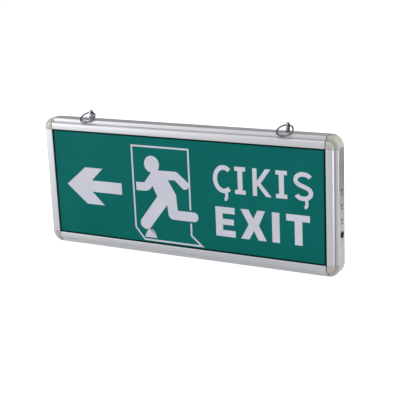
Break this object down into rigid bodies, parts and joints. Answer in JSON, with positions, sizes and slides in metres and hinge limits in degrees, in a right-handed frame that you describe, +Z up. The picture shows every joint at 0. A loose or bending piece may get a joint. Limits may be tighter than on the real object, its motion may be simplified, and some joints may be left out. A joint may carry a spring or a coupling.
{
  "type": "emergency exit light",
  "caption": "Slim hanging emergency exit light: edge-lit green sign in an anodised aluminium frame with grey corner mouldings, two hanging rings and a test button.",
  "frame": {"origin": "middle of the flat bottom band that the sign stands on", "axes": "+X to the viewer's right along the sign, +Y from the face to the back, +Z up"},
  "size_m": [0.3558, 0.0243, 0.154],
  "materials": {
    "anodised_aluminium": "satin silver anodised extrusion",
    "grey_abs": "moulded, fine satin",
    "opal_acrylic": "smooth",
    "green_film": "satin printed film",
    "clear_acrylic": "polished",
    "white_film": "matt",
    "white_panel": "satin",
    "black_rubber": "matt",
    "plated_steel": "bright zinc plate",
    "chromed_wire": "polished",
    "black_plastic": "satin",
    "lamp_green": "unlit tinted epoxy",
    "lamp_red": "unlit tinted epoxy",
    "lamp_yellow": "unlit tinted epoxy",
    "strip_white": "solder resist",
    "led_phosphor": "silicone over phosphor",
    "board_green": "solder resist",
    "nylon_white": "moulded",
    "ferrite": "sintered, matt",
    "winding_tape": "polyester tape",
    "film_capacitor": "epoxy",
    "terminal_green": "moulded",
    "fuse_glass": "clear",
    "cell_can": "plated can",
    "sleeve_blue": "heat-shrunk PVC",
    "lead_red": "PVC"
  },
  "bodies": {
    "housing": {"back_panel": "white_panel", "battery_cells": "cell_can", "battery_lead": "lead_red", "battery_sleeve": "sleeve_blue", "battery_straps": "nylon_white", "board_supports": "nylon_white", "cable_grommet": "black_rubber", "charge_chip": "black_plastic", "corner_bottom_left": "grey_abs", "corner_bottom_right": "grey_abs", "corner_top_left": "grey_abs", "corner_top_right": "grey_abs", "driver_board": "board_green", "dropper_capacitor": "film_capacitor", "frame_bottom": "anodised_aluminium", "frame_left": "anodised_aluminium", "frame_right": "anodised_aluminium", "frame_top": "anodised_aluminium", "front_panel": "opal_acrylic", "fuse": "fuse_glass", "hanger_block_left": "grey_abs", "hanger_block_right": "grey_abs", "hanger_tab_left": "plated_steel", "hanger_tab_right": "plated_steel", "indicator_board": "board_green", "indicator_lamp_charge": "lamp_red", "indicator_lamp_fault": "lamp_yellow", "indicator_lamp_mains": "lamp_green", "lead_plugs": "nylon_white", "led_strip_bottom": "strip_white", "led_strip_top": "strip_white", "leds_bottom": "led_phosphor", "leds_top": "led_phosphor", "legend_film": "green_film", "light_guide": "clear_acrylic", "reflector_sheet": "white_film", "smoothing_capacitor": "black_plastic", "terminal_block": "terminal_green", "test_switch": "black_plastic", "transformer_core": "ferrite", "transformer_winding": "winding_tape"},
    "ring_left": {"hanger_ring_left": "chromed_wire"},
    "ring_right": {"hanger_ring_right": "chromed_wire"},
    "test_button": {"test_button": "black_plastic"}
  },
  "joints": [
    {"name": "ring_left_swing", "type": "hinge", "parent": "housing", "child": "ring_left", "pos_m": [-0.1194, 0.0025, 0.1511], "axis": [-1, 0, 0], "range_deg": [0, 257.8]},
    {"name": "ring_right_swing", "type": "hinge", "parent": "housing", "child": "ring_right", "pos_m": [0.1194, 0.0025, 0.1511], "axis": [-1, 0, 0], "range_deg": [0, 257.8]},
    {"name": "test_button_press", "type": "slide", "parent": "housing", "child": "test_button", "axis": [-1, 0, 0], "range_m": [0, 0.0015], "stiffness_N_per_m": 400, "springref_m": -0.001}
  ]
}
